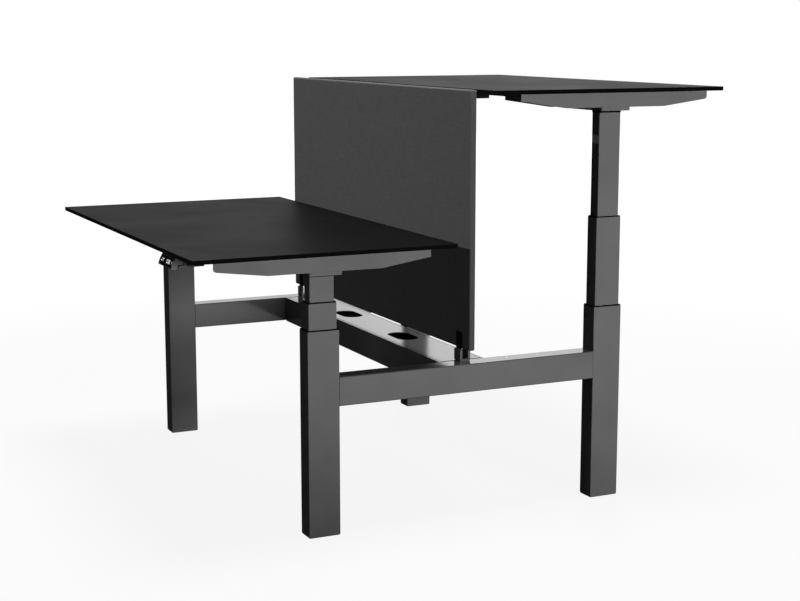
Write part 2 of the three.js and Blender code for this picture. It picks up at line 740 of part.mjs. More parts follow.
// One lifting column with its head and bracket. The group's +X points out of the end of the bench.
function column(name, topHeight, midShare, userSide) {
  const group = new THREE.Group();
  const underside = topHeight - TOP_THICKNESS;
  const head = underside - headDrop;
  const midTop = tubeTop + midShare * (head - OUTER_TOP);
  const outerBottom = FOOT_PAD + FIT;
  const spindleBottom = midTop - MID_LENGTH - HOLLOW_SPINDLE_BELOW_MID;
  const put = (piece, geometry, material, z) => {
    add(group, `${name}_${piece}`, geometry, material, 0, 0, z);
  };
  put('foot', foot(), zincSteel, 0);
  put('outer_tube', tube(outerTube, tubeTop - outerBottom), paintedSteel, outerBottom);
  put('outer_bush', slideBush(outerTube, midTube), bushPlastic, tubeTop);
  put('mid_tube', tube(midTube, MID_LENGTH), paintedSteel, midTop - MID_LENGTH);
  put('mid_bush', slideBush(midTube, innerTube), bushPlastic, midTop);
  put('hollow_spindle', hollowSpindle(), zincSteel, spindleBottom);
  put('inner_column', innerColumn(), paintedSteel, head);
  put('drive_screw', driveScrew(), zincSteel, head - FIT);
  put('gear_motor', gearMotor(), housingPlastic, head + PAN_SHEET + FIT);
  put('side_bracket', sideBracket(userSide), paintedSteel, underside - FIT);
  return group;
}

// One desk on two columns. The group's +Y points at its user, whose right hand is at -X.
function desk(name, topHeight, midShare, facing) {
  const group = new THREE.Group();
  const underside = topHeight - TOP_THICKNESS;
  [-1, 1].forEach((end) => {
    const side = end * facing > 0 ? 'right' : 'left';
    const lift = column(`${name}_${side}`, topHeight, midShare, end);
    lift.position.set(end * columnX, columnY, 0);
    lift.rotation.z = end > 0 ? 0 : Math.PI;
    group.add(lift);
  });
  const controlY = columnY - beamWidth / 2 - CONTROL_FROM_BEAM - CONTROL_WIDTH / 2;
  const handsetX = HANDSET_FROM_TOP_END - topEnd;
  const handsetY = userEdge - HANDSET_SETBACK;
  const topMiddle = (screenEdge + userEdge) / 2;
  add(group, `${name}_worktop`, worktop(), laminate, 0, topMiddle, underside);
  add(group, `${name}_head_beam`, headBeam(), paintedSteel, 0, columnY, underside - FIT);
  add(group, `${name}_control_box`, controlBox(), housingPlastic, 0, controlY, underside - FIT);
  const handset = [
    ['handset_mount', handsetMount(), handsetPlastic],
    ['handset_paddle', handsetPaddle(), handsetPlastic],
    ['handset_panel', handsetPanel(), glossPanel],
  ];
  handset.forEach(([piece, geometry, material]) => {
    add(group, `${name}_${piece}`, geometry, material, handsetX, handsetY, underside);
  });
  group.rotation.z = facing > 0 ? 0 : Math.PI;
  return group;
}

// The tie between the two desks: crossbars, cable tray, lid and screen.
function spine() {
  const group = new THREE.Group();
  const lidTop = CROSSBAR_TOP;
  const clampX = trayEnd + CLAMP_PAST_TRAY_END;
  [[-1, 'left'], [1, 'right']].forEach(([end, side]) => {
    add(group, `${side}_crossbar`, crossbar(), paintedSteel, end * columnX, 0, CROSSBAR_TOP);
    add(group, `${side}_screen_clamp`, screenClamp(), paintedSteel, end * clampX, 0, lidTop + FIT);
  });
  add(group, 'cable_tray', cableTray(), trayPaint, 0, 0, CROSSBAR_TOP);
  add(group, 'tray_lid', trayLid(), trayPaint, 0, 0, lidTop);
  add(group, 'screen_panel', screenPanel(), screenFabric, 0, 0, SCREEN_BOTTOM);
  return group;
}

const bench = new THREE.Group();
bench.add(spine());
bench.add(desk('front', FRONT_TOP_HEIGHT, FRONT_MID_SHARE, -1));
bench.add(desk('back', BACK_TOP_HEIGHT, BACK_MID_SHARE, 1));

export default bench;
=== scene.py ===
"""Finishes, small parts and studio for a sit-stand bench desk for two.

The solids of the bench come in as a fixed frame, in metres with Z up. This add-on gives them their finishes, covers
the screen with cloth, lights the handset displays, drives the screws and sets up a white studio.
"""

import math

import bmesh
import bpy
from bpy.props import FloatProperty, FloatVectorProperty, PointerProperty
from mathutils import Matrix, Vector


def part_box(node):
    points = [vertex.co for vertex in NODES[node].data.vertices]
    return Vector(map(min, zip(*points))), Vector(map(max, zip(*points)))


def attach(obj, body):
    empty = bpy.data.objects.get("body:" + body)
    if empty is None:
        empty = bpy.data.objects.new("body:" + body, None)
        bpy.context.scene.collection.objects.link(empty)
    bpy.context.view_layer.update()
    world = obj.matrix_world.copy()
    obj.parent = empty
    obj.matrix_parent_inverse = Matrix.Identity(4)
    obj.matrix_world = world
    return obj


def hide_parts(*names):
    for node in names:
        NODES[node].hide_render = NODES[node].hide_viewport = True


bl_info = {
    "name": "Sit-stand bench",
    "version": (1, 0, 0),
    "blender": (4, 5, 0),
    "location": "View3D > Sidebar > Bench",
    "description": "Finishes, screen cloth, handset displays, screws and studio for a bench desk for two",
    "category": "Object",
}

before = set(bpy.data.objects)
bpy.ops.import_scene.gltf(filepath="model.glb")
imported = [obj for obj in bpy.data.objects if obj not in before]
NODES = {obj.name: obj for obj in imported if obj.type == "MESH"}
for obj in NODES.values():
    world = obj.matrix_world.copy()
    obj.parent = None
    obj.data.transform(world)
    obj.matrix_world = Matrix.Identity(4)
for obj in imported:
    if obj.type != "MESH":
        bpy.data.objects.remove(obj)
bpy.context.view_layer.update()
DESKS = ("front", "back")
SIDES = ("right", "left")


def linear(code):
    """Turns an sRGB hex colour into the linear values that a shader takes."""
    parts = [int(code[at : at + 2], 16) / 255 for at in (1, 3, 5)]
    return tuple(part / 12.92 if part <= 0.04045 else ((part + 0.055) / 1.055) ** 2.4 for part in parts)


def colour(name, description, code):
    """A colour that a user may change."""
    return FloatVectorProperty(
        name=name, description=description, subtype="COLOR", size=3, min=0, max=1, default=linear(code)
    )


def length(name, description, metres):
    """A length that a user may change."""
    return FloatProperty(
        name=name, description=description, subtype="DISTANCE", unit="LENGTH", min=0, precision=4, default=metres
    )


class BenchColours(bpy.types.PropertyGroup):
    """Colours of the finishes."""

    laminate: colour("Worktop laminate", "Matt face and edge of the worktops", "#080808")
    frame_paint: colour("Frame paint", "Powder coat on columns, brackets and beams", "#5e5e5e")
    tray_paint: colour("Tray paint", "Smooth paint on crossbars, clamps, cable tray and lid", "#4c4c4c")
    zinc: colour("Zinc", "Plating on spindles, motors and screws", "#9b9ea1")
    bush: colour("Slide bush", "Plastic of the slide bushes", "#080808")
    housing: colour("Control box", "Plastic of the control boxes", "#4c4c4c")
    handset: colour("Handset", "Plastic of the handset's mount and paddle", "#747474")
    window: colour("Display window", "Gloss window in the paddle's face", "#050505")
    marks: colour("Display marks", "Lit digits and arrows", "#f4f6f8")
    fabric: colour("Screen fabric", "Woven cloth on the screen", "#424242")
    dip: colour("Clamp dip", "Rubber on the clamps' tabs", "#0c0c0c")


class BenchSizes(bpy.types.PropertyGroup):
    """Sizes of the small parts."""

    fabric_roll: length("Cloth roll", "Radius of the cloth over the screen's edges", 0.005)
    thread_pitch: length("Thread pitch", "Distance between threads of the screen's weave", 0.004)
    digit_height: length("Digit height", "Height of the display's digits", 0.008)
    digit_width: length("Digit width", "Width of the display's digits", 0.010)
    digit_pitch: length("Digit pitch", "Distance between the display's digits", 0.017)
    # The neck rings are painted shade: black rings under the head pans, where the pans' shadow falls on the inner
    # tubes.
    shade_ring_wall: length("Neck seal wall", "Thickness of the seal round the inner tube's top", 0.0009)
    shade_ring_height: length("Neck seal height", "Height of the seal under the head pan", 0.0067)
    screw_head: length("Screw head", "Diameter of the pan-head screws", 0.009)


class BenchStudio(bpy.types.PropertyGroup):
    """Light of the studio."""

    side_power: FloatProperty(
        name="Side light", description="Large softbox far out at the near end", unit="POWER", min=0, default=4250
    )
    card_power: FloatProperty(
        name="Floor card", description="Bounce card on the floor at the near end", unit="POWER", min=0, default=8
    )
    top_power: FloatProperty(
        name="Top light", description="Softbox high over the bench", unit="POWER", min=0, default=340
    )
    strip_power: FloatProperty(
        name="Front strip", description="Strip light behind the front desk's user", unit="POWER", min=0, default=392
    )
    back_power: FloatProperty(
        name="Back light", description="Softbox for the far sides, kept out of the gloss", unit="POWER", min=0,
        default=2200
    )
    fill_power: FloatProperty(
        name="Low fill", description="Weak panel low in front of the bench", unit="POWER", min=0, default=1.2
    )
    lens: FloatProperty(
        name="Lens", description="Focal length", subtype="DISTANCE_CAMERA", unit="CAMERA", min=1, default=70.15
    )


def start_fresh():
    """Leaves edit mode and deselects everything, because an operator acts on all that is selected."""
    if bpy.context.mode != "OBJECT":
        bpy.ops.object.mode_set(mode="OBJECT")
    bpy.ops.object.select_all(action="DESELECT")


def take(*pieces):
    """Selects these pieces alone, the first of them active."""
    start_fresh()
    for piece in pieces:
        piece.select_set(True)
    bpy.context.view_layer.objects.active = pieces[0]


def shape(piece, mode):
    """Opens a piece for edits of its vertices, edges or faces, with nothing selected."""
    take(piece)
    bpy.ops.object.mode_set(mode="EDIT")
    bpy.ops.mesh.select_mode(type=mode)
    bpy.ops.mesh.select_all(action="DESELECT")


def pick(kind, test):
    """Selects only the verts, edges or faces of the open piece that pass the test."""
    bpy.ops.mesh.select_all(action="DESELECT")
    mesh = bmesh.from_edit_mesh(bpy.context.edit_object.data)
    chosen = [item for item in getattr(mesh, kind) if test(item)]
    if not chosen:
        raise RuntimeError(f"{bpy.context.edit_object.name}: no {kind} to shape")
    for item in chosen:
        item.select_set(True)
    mesh.select_flush_mode()
    bmesh.update_edit_mesh(bpy.context.edit_object.data)


def place_copies(master, places):
    """Copies a modelled piece to each place, each copy with its own mesh, and joins them into one piece."""
    copies = []
    for place in places:
        take(master)
        bpy.ops.object.duplicate(linked=False)
        bpy.context.object.matrix_world = place
        copies.append(bpy.context.object)
    take(master)
    bpy.ops.object.delete()
    take(*copies)
    bpy.ops.object.transform_apply(location=True, rotation=True, scale=True)
    bpy.ops.object.join()
    return bpy.context.object


def finish_piece(piece, name, body, material):
    """Puts the piece's place into its mesh, smooths it, paints it and hangs it on its body."""
    take(piece)
    bpy.ops.object.transform_apply(location=True, rotation=True, scale=True)
    bpy.ops.object.shade_smooth_by_angle(angle=math.radians(40))
    piece.name = name
    piece.data.name = name
    piece.data.materials.clear()
    piece.data.materials.append(material)
    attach(piece, body)
    return piece


def paint(material, *names):
    """Gives CAD nodes their finish."""
    for name in names:
        slots = NODES[name].data.materials
        slots.clear()
        slots.append(material)


def desk_nodes(*ends):
    """Names of both desks' nodes with these endings."""
    return [f"{desk}_{end}" for desk in DESKS for end in ends]


def column_nodes(*ends):
    """Names of all four columns' nodes with these endings."""
    return [f"{desk}_{side}_{end}" for desk in DESKS for side in SIDES for end in ends]


def add(tree, kind, inputs=None, **settings):
    """Adds a shader node, sets it and fills its inputs with values or with other nodes' outputs."""
    node = tree.nodes.new("ShaderNode" + kind)
    for name, value in settings.items():
        setattr(node, name, value)
    for socket, value in (inputs or {}).items():
        if isinstance(value, bpy.types.NodeSocket):
            tree.links.new(value, node.inputs[socket])
        else:
            node.inputs[socket].default_value = value
    return node


def per(millimetres):
    """Scale of a texture on coordinates in metres whose features are this wide."""
    return 1000 / millimetres


def tone(rgb, level):
    """A colour made lighter or darker, as a shader socket takes it."""
    return (*(min(part * level, 1) for part in rgb), 1)


def new_finish(name):
    """A material with its tree, its Principled shader and the Object coordinates."""
    material = bpy.data.materials.new(name)
    material.use_nodes = True
    tree = material.node_tree
    shader = tree.nodes["Principled BSDF"]
    place = add(tree, "TexCoord").outputs["Object"]
    return material, tree, shader, place


def powder_coat(name, rgb, peel_mm, rough, depth, shine=0.5, lacquer=0):
    """Powder coat baked on steel, with clear lacquer over it where that is asked for.

    The film flows into a soft orange peel, so a glancing reflection stays clear but wavers, and its thickness drifts.
    """
    material, tree, shader, place = new_finish(name)
    # Orange peel is about 1.5 mm wide on the real film, too fine for the render, so it is drawn wider.
    peel = add(tree, "TexNoise", {"Vector": place, "Scale": per(peel_mm), "Detail": 1.5})
    drift = add(tree, "TexNoise", {"Vector": place, "Scale": per(140), "Detail": 3})
    grit = add(tree, "TexNoise", {"Vector": place, "Scale": per(2.5), "Detail": 1})
    film = add(tree, "Math", {0: drift.outputs["Fac"], 1: grit.outputs["Fac"], 2: 0.0}, operation="MULTIPLY_ADD")
    span = {"Value": film.outputs[0], "From Min": 0.15, "From Max": 0.35}
    share = add(tree, "MapRange", span)
    base = add(tree, "Mix", {0: share.outputs[0], 6: tone(rgb, 0.93), 7: tone(rgb, 1.07)}, data_type="RGBA")
    gloss = add(tree, "MapRange", {**span, "To Min": rough * 1.12, "To Max": rough * 0.88})
    bump = add(tree, "Bump", {"Height": peel.outputs["Fac"], "Strength": 0.25, "Distance": depth})
    tree.links.new(base.outputs[2], shader.inputs["Base Color"])
    tree.links.new(gloss.outputs[0], shader.inputs["Roughness"])
    tree.links.new(bump.outputs[0], shader.inputs["Normal"])
    shader.inputs["IOR"].default_value = 1.5
    shader.inputs["Specular IOR Level"].default_value = shine
    shader.inputs["Coat Weight"].default_value = lacquer
    shader.inputs["Coat Roughness"].default_value = rough
    return material


def dipped_paint(name, rgb, dip, level):
    """Smooth paint on a clamp whose tabs are dipped in black rubber down to a level, so that they grip the cloth."""
    material, tree, shader, place = new_finish(name)
    axes = add(tree, "SeparateXYZ", {"Vector": place})
    # Rubber from the dip runs to a wavy line, a fraction of a millimetre up and down.
    run = add(tree, "TexNoise", {"Vector": place, "Scale": per(6), "Detail": 1})
    line = add(tree, "Math", {0: run.outputs["Fac"], 1: 0.0006, 2: axes.outputs["Z"]}, operation="MULTIPLY_ADD")
    rubber = add(tree, "MapRange", {"Value": line.outputs[0], "From Min": level, "From Max": level + 0.0006})
    base = add(tree, "Mix", {0: rubber.outputs[0], 6: tone(rgb, 1), 7: tone(dip, 1)}, data_type="RGBA")
    rough = add(tree, "MapRange", {"Value": rubber.outputs[0], "To Min": 0.1, "To Max": 0.8})
    level_off = add(tree, "MapRange", {"Value": rubber.outputs[0], "To Min": 0.5, "To Max": 0.1})
    tree.links.new(base.outputs[2], shader.inputs["Base Color"])
    tree.links.new(rough.outputs[0], shader.inputs["Roughness"])
    tree.links.new(level_off.outputs[0], shader.inputs["Specular IOR Level"])
    return material


def compact_laminate(name, rgb):
    """Compact laminate pressed against a matt plate.

    Deep black, with a fine soft-touch grain that spreads any reflection, and faint cloudy traces of handling.
    """
    material, tree, shader, place = new_finish(name)
    # The plate's grain is about 0.3 mm, drawn at 2 mm so that it shows.
    grain = add(tree, "TexNoise", {"Vector": place, "Scale": per(2), "Detail": 2})
    cloud = add(tree, "TexNoise", {"Vector": place, "Scale": per(260), "Detail": 4, "Distortion": 0.6})
    span = {"Value": cloud.outputs["Fac"], "From Min": 0.3, "From Max": 0.7}
    share = add(tree, "MapRange", span)
    base = add(tree, "Mix", {0: share.outputs[0], 6: tone(rgb, 0.9), 7: tone(rgb, 1.12)}, data_type="RGBA")
    gloss = add(tree, "MapRange", {**span, "To Min": 0.42, "To Max": 0.48})
    bump = add(tree, "Bump", {"Height": grain.outputs["Fac"], "Strength": 0.2, "Distance": 0.0003})
    tree.links.new(base.outputs[2], shader.inputs["Base Color"])
    tree.links.new(gloss.outputs[0], shader.inputs["Roughness"])
    tree.links.new(bump.outputs[0], shader.inputs["Normal"])
    shader.inputs["Specular IOR Level"].default_value = 0.04
    return material


def woven_cloth(name, rgb, pitch):
    """Plain weave of heathered wool and polyester yarn, pulled tight over a board.

    Matt, with a light bloom at its edges, threads that stand over and under each other, and thick and thin yarn.
    """
    material, tree, shader, place = new_finish(name)
    axes = add(tree, "SeparateXYZ", {"Vector": place})
    # Y is added to both directions of the weave, so that the threads run on round the screen's edges.
    turn = math.tau / pitch / 2
    threads = []
    for axis in ("X", "Z"):
        along = add(tree, "Math", {0: axes.outputs[axis], 1: axes.outputs["Y"]}, operation="ADD")
        angle = add(tree, "Math", {0: along.outputs[0], 1: turn}, operation="MULTIPLY")
        threads.append(add(tree, "Math", {0: angle.outputs[0]}, operation="SINE").outputs[0])
    # The real threads are about 1 mm apart, too fine for the render, so the weave is drawn coarser.
    crossing = add(tree, "Math", {0: threads[0], 1: threads[1]}, operation="MULTIPLY")
    slubs = []
    for stretch in ((per(45), per(45), per(5)), (per(5), per(5), per(45))):
        turned = add(tree, "Mapping", {"Vector": place, "Scale": stretch})
        slubs.append(add(tree, "TexNoise", {"Vector": turned.outputs[0], "Scale": 1, "Detail": 2}).outputs["Fac"])
    yarn = add(tree, "Math", {0: slubs[0], 1: slubs[1]}, operation="ADD")
    mixed = add(tree, "Math", {0: crossing.outputs[0], 1: 0.12, 2: yarn.outputs[0]}, operation="MULTIPLY_ADD")
    share = add(tree, "MapRange", {"Value": mixed.outputs[0], "From Min": 0.7, "From Max": 1.3})
    base = add(tree, "Mix", {0: share.outputs[0], 6: tone(rgb, 0.9), 7: tone(rgb, 1.1)}, data_type="RGBA")
    rough = add(tree, "MapRange", {"Value": share.outputs[0], "To Min": 0.95, "To Max": 0.82})
    bump = add(tree, "Bump", {"Height": mixed.outputs[0], "Strength": 0.2, "Distance": 0.0006})
    tree.links.new(base.outputs[2], shader.inputs["Base Color"])
    tree.links.new(rough.outputs[0], shader.inputs["Roughness"])
    tree.links.new(bump.outputs[0], shader.inputs["Normal"])
    shader.inputs["Specular IOR Level"].default_value = 0.15
    shader.inputs["Sheen Weight"].default_value = 0.12
    shader.inputs["Sheen Roughness"].default_value = 0.5
    return material


def moulded_plastic(name, rgb, grain_mm, rough, shine=0.5):
    """Injection-moulded plastic from a spark-eroded tool: an even, fine satin grain with slight flow marks."""
    material, tree, shader, place = new_finish(name)
    # The eroded grain is about 0.2 mm, drawn coarser so that it shows.
    grain = add(tree, "TexVoronoi", {"Vector": place, "Scale": per(grain_mm)})
    flow = add(tree, "TexNoise", {"Vector": place, "Scale": per(60), "Detail": 3, "Distortion": 1})
    span = {"Value": flow.outputs["Fac"], "From Min": 0.3, "From Max": 0.7}
    share = add(tree, "MapRange", span)
    base = add(tree, "Mix", {0: share.outputs[0], 6: tone(rgb, 0.92), 7: tone(rgb, 1.08)}, data_type="RGBA")
    gloss = add(tree, "MapRange", {**span, "To Min": rough * 1.1, "To Max": rough * 0.9})
    bump = add(tree, "Bump", {"Height": grain.outputs["Distance"], "Strength": 0.15, "Distance": 0.0002})
    tree.links.new(base.outputs[2], shader.inputs["Base Color"])
    tree.links.new(gloss.outputs[0], shader.inputs["Roughness"])
    tree.links.new(bump.outputs[0], shader.inputs["Normal"])
    shader.inputs["IOR"].default_value = 1.49
    shader.inputs["Specular IOR Level"].default_value = shine
    return material


def display_window(name, rgb):
    """Black tinted acrylic, polished: a clear sharp reflection, dulled here and there by fingers."""
    material, tree, shader, place = new_finish(name)
    touch = add(tree, "TexNoise", {"Vector": place, "Scale": per(14), "Detail": 2, "Distortion": 0.4})
    span = {"Value": touch.outputs["Fac"], "From Min": 0.45, "From Max": 0.75}
    share = add(tree, "MapRange", span)
    base = add(tree, "Mix", {0: share.outputs[0], 6: tone(rgb, 1), 7: tone(rgb, 1.6)}, data_type="RGBA")
    gloss = add(tree, "MapRange", {**span, "To Min": 0.05, "To Max": 0.14})
    tree.links.new(base.outputs[2], shader.inputs["Base Color"])
    tree.links.new(gloss.outputs[0], shader.inputs["Roughness"])
    shader.inputs["IOR"].default_value = 1.49
    return material


def lit_marks(name, rgb):
    """Light-emitting diodes behind a diffuser: an even cool white glow, a little weaker in soft patches."""
    material, tree, shader, place = new_finish(name)
    spread = add(tree, "TexNoise", {"Vector": place, "Scale": per(9), "Detail": 1})
    share = add(tree, "MapRange", {"Value": spread.outputs["Fac"], "From Min": 0.3, "From Max": 0.7})
    glow = add(tree, "Mix", {0: share.outputs[0], 6: tone(rgb, 0.9), 7: tone(rgb, 1)}, data_type="RGBA")
    tree.links.new(glow.outputs[2], shader.inputs["Emission Color"])
    shader.inputs["Base Color"].default_value = tone(rgb, 0.5)
    shader.inputs["Emission Strength"].default_value = 0.9
    shader.inputs["Roughness"].default_value = 0.4
    return material


def zinc_plate(name, rgb):
    """Zinc plating on steel: a cool grey metal with a fine crystal mottle and drawn lines along its length."""
    material, tree, shader, place = new_finish(name)
    crystal = add(tree, "TexVoronoi", {"Vector": place, "Scale": per(3)}, feature="F1")
    drawn = add(tree, "Mapping", {"Vector": place, "Scale": (per(1.5), per(1.5), per(60))})
    lines = add(tree, "TexNoise", {"Vector": drawn.outputs[0], "Scale": 1, "Detail": 2})
    share = add(tree, "MapRange", {"Value": crystal.outputs["Distance"], "From Min": 0.1, "From Max": 0.7})
    base = add(tree, "Mix", {0: share.outputs[0], 6: tone(rgb, 0.88), 7: tone(rgb, 1.05)}, data_type="RGBA")
    gloss = add(tree, "MapRange", {"Value": lines.outputs["Fac"], "To Min": 0.28, "To Max": 0.48})
    bump = add(tree, "Bump", {"Height": lines.outputs["Fac"], "Strength": 0.1, "Distance": 0.0002})
    tree.links.new(base.outputs[2], shader.inputs["Base Color"])
    tree.links.new(gloss.outputs[0], shader.inputs["Roughness"])
    tree.links.new(bump.outputs[0], shader.inputs["Normal"])
    shader.inputs["Metallic"].default_value = 1
    return material


class BENCH_OT_stage(bpy.types.Operator):
    """Sets up the white studio: camera, floor, backdrop and softboxes"""

    bl_idname = "bench.stage"
    bl_label = "Studio"

    def execute(self, context):
        studio = context.scene.bench_studio
        context.scene.view_settings.view_transform = "Standard"
        start_fresh()
        turn = (math.radians(90 - 9.847), 0, math.radians(64.673))
        bpy.ops.object.camera_add(location=(4.5672, -2.0698, 1.4049), rotation=turn)
        context.scene.camera = context.object
        context.object.data.lens = studio.lens
        context.object.data.sensor_width = 36

        side = self.softbox("side_softbox", (20, 3, 3.3), (0, 0.1, 0.75), (7, 5), studio.side_power)
        self.softbox("floor_card", (2.25, 0.8, 0.005), (2.25, 0.8, 1), (2.1, 1.6), studio.card_power)
        self.softbox("top_softbox", (0.3, 0.2, 5.3), (0.1, 0.2, 0.8), (2, 2), studio.top_power)
        self.softbox("front_strip", (-0.8, -7, 3.8), (0, 0, 1), (2.4, 0.4), studio.strip_power)
        self.softbox("low_fill", (-0.3, -2.1, 0.6), (-0.3, 0, 0.6), (2.8, 0.8), studio.fill_power)
        far = self.softbox("back_softbox", (-14, 8, 4.5), (0, 0, 0.75), (5, 4), studio.back_power)
        # The two far softboxes would show as hard white patches in the gloss of the tray, seen along its length.
        side.visible_glossy = False
        far.visible_glossy = False
        # A board in front keeps the strip's light off everything below the front worktop. A low one at the near end
        # lets the side light fade towards the floor.
        self.flag("front_flag", (0, -2.2, 0.775), (4.4, 0.01, 1.55))
        self.flag("low_flag", (3.6, -0.025, 0.26), (0.01, 1.55, 0.52))
        self.floor()
        self.backdrop(context.scene)
        return {"FINISHED"}

    def softbox(self, name, place, target, size, power):
        start_fresh()
        aim = (Vector(target) - Vector(place)).to_track_quat("-Z", "Y").to_euler()
        bpy.ops.object.light_add(type="AREA", location=place, rotation=aim)
        box = bpy.context.object
        box.name = name
        box.data.shape = "RECTANGLE"
        box.data.size, box.data.size_y = size
        box.data.energy = power
        box.visible_camera = False
        return box

    def flag(self, name, place, size):
        start_fresh()
        bpy.ops.mesh.primitive_cube_add(size=1, location=place, scale=size)
        board = bpy.context.object
        board.name = name
        bpy.ops.object.transform_apply(location=True, rotation=True, scale=True)
        black = bpy.data.materials.new(f"black_{name}_board")
        black.use_nodes = True
        black.node_tree.nodes["Principled BSDF"].inputs["Base Color"].default_value = (0, 0, 0, 1)
        board.data.materials.append(black)
        board.visible_camera = False
        board.visible_glossy = False

    def floor(self):
        start_fresh()
        bpy.ops.mesh.primitive_circle_add(vertices=96, radius=30, fill_type="NGON")
        floor = bpy.context.object
        floor.name = "studio_floor"
        # White seamless floor: it glows to the eye of the camera and keeps the bench's soft shadow.
        material = bpy.data.materials.new("white_studio_floor")
        material.use_nodes = True
        tree = material.node_tree
        tree.nodes.clear()
        path = add(tree, "LightPath").outputs
        seen = add(tree, "Math", {0: path["Is Camera Ray"], 1: path["Is Transmission Ray"]}, operation="MAXIMUM")
        share = add(tree, "Math", {0: path["Is Glossy Ray"], 1: 0.04, 2: seen.outputs[0]}, operation="MULTIPLY_ADD")
        place = add(tree, "TexCoord").outputs["Object"]
        # Painted shade: the glow falls from full white 6 m out to 0.895 within 1.5 m of the bench.
        away = add(tree, "VectorMath", {0: place}, operation="LENGTH").outputs["Value"]
        span = {"Value": away, "From Min": 1.5, "From Max": 6, "To Min": 0.895, "To Max": 1}
        level = add(tree, "MapRange", span, interpolation_type="SMOOTHSTEP")
        strength = add(tree, "Math", {0: share.outputs[0], 1: level.outputs[0]}, operation="MULTIPLY")
        glow = add(tree, "Emission", {"Strength": strength.outputs[0]})
        shade = add(tree, "Math", {0: path["Is Camera Ray"], 1: 0.05}, operation="MULTIPLY")
        matt = add(tree, "BsdfDiffuse", {"Color": shade.outputs[0]})
        both = add(tree, "AddShader", {0: matt.outputs[0], 1: glow.outputs[0]})
        add(tree, "OutputMaterial", {"Surface": both.outputs[0]})
        floor.data.materials.append(material)

    def backdrop(self, scene):
        # White to the camera all round. Gloss sees the white wall behind the bench and a dim room in front of it.
        world = bpy.data.worlds.new("white_studio")
        scene.world = world
        world.use_nodes = True
        tree = world.node_tree
        tree.nodes.clear()
        path = add(tree, "LightPath").outputs
        towards = add(tree, "TexCoord").outputs["Generated"]
        facing = add(tree, "VectorMath", {0: towards, 1: (-0.91, 0.41, 0)}, operation="DOT_PRODUCT")
        wall = add(tree, "MapRange", {"Value": facing.outputs["Value"], "From Min": 0.78, "From Max": 0.97})
        aside = add(tree, "VectorMath", {0: towards, 1: (0.38, 0.92, 0)}, operation="DOT_PRODUCT")
        span = {"Value": aside.outputs["Value"], "From Min": 0.0, "From Max": 0.06, "To Min": 0.45, "To Max": 1}
        wing = add(tree, "MapRange", span)
        # A white band along the whole wall is what the level steel of the crossbars and the tray mirrors.
        level = add(tree, "SeparateXYZ", {"Vector": towards}).outputs["Z"]
        off = add(tree, "Math", {0: level, 1: 0.19}, operation="SUBTRACT")
        gap = add(tree, "Math", {0: off.outputs[0]}, operation="ABSOLUTE")
        span = {"Value": gap.outputs[0], "From Min": 0.03, "From Max": 0.05, "To Min": 1, "To Max": 0}
        band = add(tree, "MapRange", span)
        bright = add(tree, "Math", {0: wing.outputs[0], 1: band.outputs[0]}, operation="MAXIMUM")
        lit = add(tree, "Math", {0: wall.outputs[0], 1: bright.outputs[0]}, operation="MULTIPLY")
        # A pale card behind the front desk's user gives the steel that faces them a soft sheen.
        ahead = add(tree, "VectorMath", {0: towards, 1: (0.1, -0.995, 0)}, operation="DOT_PRODUCT")
        span = {"Value": ahead.outputs["Value"], "From Min": 0.72, "From Max": 0.97, "To Max": 0.9}
        card = add(tree, "MapRange", span)
        lit = add(tree, "Math", {0: lit.outputs[0], 1: card.outputs[0]}, operation="MAXIMUM")
        gloss = add(tree, "Math", {0: path["Is Glossy Ray"], 1: lit.outputs[0]}, operation="MULTIPLY")
        seen = add(tree, "Math", {0: path["Is Camera Ray"], 1: path["Is Transmission Ray"]}, operation="MAXIMUM")
        white = add(tree, "Math", {0: seen.outputs[0], 1: gloss.outputs[0]}, operation="MAXIMUM")
        strength = add(tree, "MapRange", {"Value": white.outputs[0], "To Min": 0.014, "To Max": 1})
        sky = add(tree, "Background", {"Color": (1, 1, 1, 1), "Strength": strength.outputs[0]})
        add(tree, "OutputWorld", {"Surface": sky.outputs[0]})


class BENCH_OT_worktops(bpy.types.Operator):
    """Gives both worktops their matt black laminate"""

    bl_idname = "bench.worktops"
    bl_label = "Worktops"

    def execute(self, context):
        laminate = compact_laminate("black_compact_laminate", context.scene.bench_colours.laminate)
        paint(laminate, *desk_nodes("worktop"))
        return {"FINISHED"}


